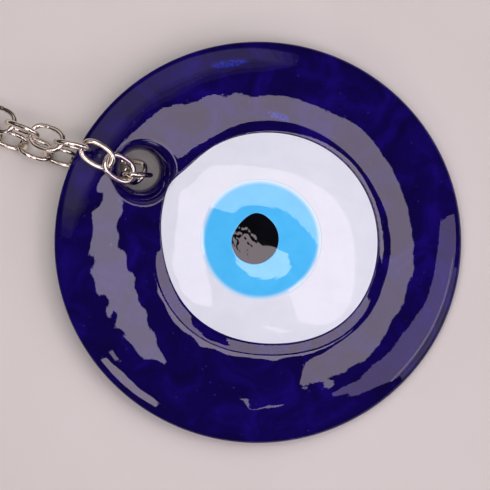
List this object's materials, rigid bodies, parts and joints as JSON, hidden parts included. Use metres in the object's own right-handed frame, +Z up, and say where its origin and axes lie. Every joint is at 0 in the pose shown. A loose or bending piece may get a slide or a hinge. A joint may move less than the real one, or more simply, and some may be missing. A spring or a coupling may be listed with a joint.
{
  "type": "evil eye ornament",
  "caption": "Round poured-glass eye charm with a drilled hole, hung on a closed loop of fine cable chain that a plain ring joins.",
  "frame": {"origin": "middle of the whole ornament's footprint, on the surface it lies on", "axes": "+Z up from the surface, +X from the closing ring's end towards the glass disc, +Y to the left of that"},
  "size_m": [0.1213, 0.0693, 0.0121],
  "materials": {
    "cobalt_glass": "polished, see-through where it is thin",
    "white_glass": "polished, opaque",
    "light_blue_glass": "polished, opaque",
    "black_glass": "polished, opaque",
    "chain_steel": "bright polished wire",
    "ring_steel": "bright polished wire"
  },
  "bodies": {
    "disc": {"glass_body": "cobalt_glass", "white_layer": "white_glass", "iris_layer": "light_blue_glass", "pupil": "black_glass"},
    "hole_link": {"hole_link": "chain_steel"},
    "upper_link_01": {"upper_link_01": "chain_steel"},
    "upper_link_02": {"upper_link_02": "chain_steel"},
    "upper_link_03": {"upper_link_03": "chain_steel"},
    "upper_link_04": {"upper_link_04": "chain_steel"},
    "upper_link_05": {"upper_link_05": "chain_steel"},
    "upper_link_06": {"upper_link_06": "chain_steel"},
    "upper_link_07": {"upper_link_07": "chain_steel"},
    "upper_link_08": {"upper_link_08": "chain_steel"},
    "upper_link_09": {"upper_link_09": "chain_steel"},
    "upper_link_10": {"upper_link_10": "chain_steel"},
    "upper_link_11": {"upper_link_11": "chain_steel"},
    "upper_link_12": {"upper_link_12": "chain_steel"},
    "upper_link_13": {"upper_link_13": "chain_steel"},
    "upper_link_14": {"upper_link_14": "chain_steel"},
    "upper_link_15": {"upper_link_15": "chain_steel"},
    "upper_link_16": {"upper_link_16": "chain_steel"},
    "upper_link_17": {"upper_link_17": "chain_steel"},
    "upper_link_18": {"upper_link_18": "chain_steel"},
    "lower_link_01": {"lower_link_01": "chain_steel"},
    "lower_link_02": {"lower_link_02": "chain_steel"},
    "lower_link_03": {"lower_link_03": "chain_steel"},
    "lower_link_04": {"lower_link_04": "chain_steel"},
    "lower_link_05": {"lower_link_05": "chain_steel"},
    "lower_link_06": {"lower_link_06": "chain_steel"},
    "lower_link_07": {"lower_link_07": "chain_steel"},
    "lower_link_08": {"lower_link_08": "chain_steel"},
    "lower_link_09": {"lower_link_09": "chain_steel"},
    "lower_link_10": {"lower_link_10": "chain_steel"},
    "lower_link_11": {"lower_link_11": "chain_steel"},
    "lower_link_12": {"lower_link_12": "chain_steel"},
    "lower_link_13": {"lower_link_13": "chain_steel"},
    "lower_link_14": {"lower_link_14": "chain_steel"},
    "lower_link_15": {"lower_link_15": "chain_steel"},
    "lower_link_16": {"lower_link_16": "chain_steel"},
    "lower_link_17": {"lower_link_17": "chain_steel"},
    "lower_link_18": {"lower_link_18": "chain_steel"},
    "closing_ring": {"closing_ring": "ring_steel"}
  },
  "joints": [
    {"name": "chain_swing", "type": "hinge", "parent": "disc", "child": "hole_link", "pos_m": [0.01349, 0.00617, 0.00631], "axis": [0, 0, 1], "range_deg": [-25, 25]},
    {"name": "ripple_near", "type": "hinge", "parent": "hole_link", "child": "upper_link_01", "pos_m": [0.0119, 0.00559, 0.00839], "axis": [0.3256, 0.9455, 0], "range_deg": [0, 1]},
    {"name": "upper_hinge_02", "type": "hinge", "parent": "upper_link_01", "child": "upper_link_02", "pos_m": [0.00883, 0.0075, 0.01019], "axis": [0.3256, 0.9455, 0], "range_deg": [-2, 0]},
    {"name": "upper_hinge_03", "type": "hinge", "parent": "upper_link_02", "child": "upper_link_03", "pos_m": [0.00545, 0.00966, 0.01016], "axis": [0.3256, 0.9455, 0], "range_deg": [0, 1]},
    {"name": "ripple_mid", "type": "hinge", "parent": "upper_link_03", "child": "upper_link_04", "pos_m": [0.00149, 0.01034, 0.00997], "axis": [0.3256, 0.9455, 0], "range_deg": [0, 3]},
    {"name": "upper_hinge_05", "type": "hinge", "parent": "upper_link_04", "child": "upper_link_05", "pos_m": [-0.00218, 0.0117, 0.00914], "axis": [0.3256, 0.9455, 0], "range_deg": [-6, 0]},
    {"name": "upper_hinge_06", "type": "hinge", "parent": "upper_link_05", "child": "upper_link_06", "pos_m": [-0.00574, 0.01306, 0.00791], "axis": [0.3256, 0.9455, 0], "range_deg": [0, 3]},
    {"name": "ripple_far", "type": "hinge", "parent": "upper_link_06", "child": "upper_link_07", "pos_m": [-0.00907, 0.01459, 0.0063], "axis": [0.3256, 0.9455, 0], "range_deg": [0, 3]},
    {"name": "upper_hinge_08", "type": "hinge", "parent": "upper_link_07", "child": "upper_link_08", "pos_m": [-0.01193, 0.01638, 0.00415], "axis": [0.3256, 0.9455, 0], "range_deg": [-6, 0]},
    {"name": "upper_hinge_09", "type": "hinge", "parent": "upper_link_08", "child": "upper_link_09", "pos_m": [-0.01462, 0.01844, 0.00195], "axis": [0.3256, 0.9455, 0], "range_deg": [0, 3]},
    {"name": "chain_sway", "type": "hinge", "parent": "upper_link_09", "child": "upper_link_10", "pos_m": [-0.01834, 0.01991, 0.00173], "axis": [0, 0, 1], "range_deg": [-15, 15]},
    {"name": "upper_hinge_11", "type": "hinge", "parent": "upper_link_10", "child": "upper_link_11", "pos_m": [-0.02213, 0.0212, 0.00176], "axis": [0, 0, 1], "range_deg": [-15, 15]},
    {"name": "chain_step", "type": "hinge", "parent": "upper_link_11", "child": "upper_link_12", "pos_m": [-0.02591, 0.0225, 0.00176], "axis": [0.3256, 0.9455, 0], "range_deg": [0, 6]},
    {"name": "upper_hinge_13", "type": "hinge", "parent": "upper_link_12", "child": "upper_link_13", "pos_m": [-0.02969, 0.0238, 0.00176], "axis": [0.3256, 0.9455, 0], "range_deg": [-6, 0]},
    {"name": "upper_hinge_14", "type": "hinge", "parent": "upper_link_13", "child": "upper_link_14", "pos_m": [-0.03347, 0.0251, 0.00176], "axis": [0, 0, 1], "range_deg": [-15, 15]},
    {"name": "upper_hinge_15", "type": "hinge", "parent": "upper_link_14", "child": "upper_link_15", "pos_m": [-0.03726, 0.02641, 0.00176], "axis": [0, 0, 1], "range_deg": [-15, 15]},
    {"name": "chain_lift", "type": "hinge", "parent": "upper_link_15", "child": "upper_link_16", "pos_m": [-0.04104, 0.02771, 0.00176], "axis": [0.3256, 0.9455, 0], "range_deg": [0, 25]},
    {"name": "upper_hinge_17", "type": "hinge", "parent": "upper_link_16", "child": "upper_link_17", "pos_m": [-0.04482, 0.02901, 0.00174], "axis": [0.3256, 0.9455, 0], "range_deg": [0, 25]},
    {"name": "upper_hinge_18", "type": "hinge", "parent": "upper_link_17", "child": "upper_link_18", "pos_m": [-0.04859, 0.03031, 0.00207], "axis": [0.3256, 0.9455, 0], "range_deg": [0, 25]},
    {"name": "lower_hinge_01", "type": "hinge", "parent": "hole_link", "child": "lower_link_01", "pos_m": [0.01388, 0.00569, 0.00487], "axis": [0.3256, 0.9455, 0], "range_deg": [0, 1]},
    {"name": "lower_hinge_02", "type": "hinge", "parent": "lower_link_01", "child": "lower_link_02", "pos_m": [0.01139, 0.00651, 0.0015], "axis": [0.3256, 0.9455, 0], "range_deg": [-2, 0]},
    {"name": "lower_hinge_03", "type": "hinge", "parent": "lower_link_02", "child": "lower_link_03", "pos_m": [0.00744, 0.00734, 0.00176], "axis": [0.3256, 0.9455, 0], "range_deg": [0, 1]},
    {"name": "lower_hinge_04", "type": "hinge", "parent": "lower_link_03", "child": "lower_link_04", "pos_m": [0.00348, 0.00786, 0.00175], "axis": [0.3256, 0.9455, 0], "range_deg": [0, 3]},
    {"name": "lower_hinge_05", "type": "hinge", "parent": "lower_link_04", "child": "lower_link_05", "pos_m": [-0.00039, 0.0089, 0.00175], "axis": [0.3256, 0.9455, 0], "range_deg": [-6, 0]},
    {"name": "lower_hinge_06", "type": "hinge", "parent": "lower_link_05", "child": "lower_link_06", "pos_m": [-0.00414, 0.01029, 0.00175], "axis": [0.3256, 0.9455, 0], "range_deg": [0, 3]},
    {"name": "lower_hinge_07", "type": "hinge", "parent": "lower_link_06", "child": "lower_link_07", "pos_m": [-0.00795, 0.01152, 0.00175], "axis": [0.3256, 0.9455, 0], "range_deg": [0, 3]},
    {"name": "lower_hinge_08", "type": "hinge", "parent": "lower_link_07", "child": "lower_link_08", "pos_m": [-0.01175, 0.01275, 0.00175], "axis": [0.3256, 0.9455, 0], "range_deg": [-6, 0]},
    {"name": "lower_hinge_09", "type": "hinge", "parent": "lower_link_08", "child": "lower_link_09", "pos_m": [-0.01552, 0.01411, 0.00175], "axis": [0.3256, 0.9455, 0], "range_deg": [0, 3]},
    {"name": "lower_hinge_10", "type": "hinge", "parent": "lower_link_09", "child": "lower_link_10", "pos_m": [-0.01913, 0.01583, 0.00175], "axis": [0, 0, 1], "range_deg": [-15, 15]},
    {"name": "lower_hinge_11", "type": "hinge", "parent": "lower_link_10", "child": "lower_link_11", "pos_m": [-0.02292, 0.01711, 0.00175], "axis": [0, 0, 1], "range_deg": [-15, 15]},
    {"name": "lower_hinge_12", "type": "hinge", "parent": "lower_link_11", "child": "lower_link_12", "pos_m": [-0.0267, 0.01841, 0.00175], "axis": [0.3256, 0.9455, 0], "range_deg": [0, 6]},
    {"name": "lower_hinge_13", "type": "hinge", "parent": "lower_link_12", "child": "lower_link_13", "pos_m": [-0.03048, 0.01971, 0.00175], "axis": [0.3256, 0.9455, 0], "range_deg": [-6, 0]},
    {"name": "lower_hinge_14", "type": "hinge", "parent": "lower_link_13", "child": "lower_link_14", "pos_m": [-0.03426, 0.02102, 0.00175], "axis": [0, 0, 1], "range_deg": [-15, 15]},
    {"name": "lower_hinge_15", "type": "hinge", "parent": "lower_link_14", "child": "lower_link_15", "pos_m": [-0.03804, 0.02232, 0.00175], "axis": [0, 0, 1], "range_deg": [-15, 15]},
    {"name": "lower_hinge_16", "type": "hinge", "parent": "lower_link_15", "child": "lower_link_16", "pos_m": [-0.04183, 0.02362, 0.00175], "axis": [0.3256, 0.9455, 0], "range_deg": [0, 25]},
    {"name": "lower_hinge_17", "type": "hinge", "parent": "lower_link_16", "child": "lower_link_17", "pos_m": [-0.04561, 0.02492, 0.00174], "axis": [0.3256, 0.9455, 0], "range_deg": [0, 25]},
    {"name": "lower_hinge_18", "type": "hinge", "parent": "lower_link_17", "child": "lower_link_18", "pos_m": [-0.04938, 0.02622, 0.00206], "axis": [0.3256, 0.9455, 0], "range_deg": [0, 25]},
    {"name": "ring_swing", "type": "hinge", "parent": "upper_link_18", "child": "closing_ring", "pos_m": [-0.05187, 0.02926, 0.00206], "axis": [0.1896, 0.9819, 0.0005], "range_deg": [0, 100]}
  ],
  "couplings": [
    {"joint": "upper_hinge_02", "follows": "ripple_near", "ratio": -2},
    {"joint": "upper_hinge_03", "follows": "ripple_near", "ratio": 1},
    {"joint": "upper_hinge_05", "follows": "ripple_mid", "ratio": -2},
    {"joint": "upper_hinge_06", "follows": "ripple_mid", "ratio": 1},
    {"joint": "upper_hinge_08", "follows": "ripple_far", "ratio": -2},
    {"joint": "upper_hinge_09", "follows": "ripple_far", "ratio": 1},
    {"joint": "upper_hinge_11", "follows": "chain_sway", "ratio": 1},
    {"joint": "upper_hinge_13", "follows": "chain_step", "ratio": -1},
    {"joint": "upper_hinge_14", "follows": "chain_sway", "ratio": -1},
    {"joint": "upper_hinge_15", "follows": "chain_sway", "ratio": -1},
    {"joint": "upper_hinge_17", "follows": "chain_lift", "ratio": 1},
    {"joint": "upper_hinge_18", "follows": "chain_lift", "ratio": 1},
    {"joint": "lower_hinge_01", "follows": "ripple_near", "ratio": 1},
    {"joint": "lower_hinge_02", "follows": "ripple_near", "ratio": -2},
    {"joint": "lower_hinge_03", "follows": "ripple_near", "ratio": 1},
    {"joint": "lower_hinge_04", "follows": "ripple_mid", "ratio": 1},
    {"joint": "lower_hinge_05", "follows": "ripple_mid", "ratio": -2},
    {"joint": "lower_hinge_06", "follows": "ripple_mid", "ratio": 1},
    {"joint": "lower_hinge_07", "follows": "ripple_far", "ratio": 1},
    {"joint": "lower_hinge_08", "follows": "ripple_far", "ratio": -2},
    {"joint": "lower_hinge_09", "follows": "ripple_far", "ratio": 1},
    {"joint": "lower_hinge_10", "follows": "chain_sway", "ratio": 1},
    {"joint": "lower_hinge_11", "follows": "chain_sway", "ratio": 1},
    {"joint": "lower_hinge_12", "follows": "chain_step", "ratio": 1},
    {"joint": "lower_hinge_13", "follows": "chain_step", "ratio": -1},
    {"joint": "lower_hinge_14", "follows": "chain_sway", "ratio": -1},
    {"joint": "lower_hinge_15", "follows": "chain_sway", "ratio": -1},
    {"joint": "lower_hinge_16", "follows": "chain_lift", "ratio": 1},
    {"joint": "lower_hinge_17", "follows": "chain_lift", "ratio": 1},
    {"joint": "lower_hinge_18", "follows": "chain_lift", "ratio": 1}
  ]
}
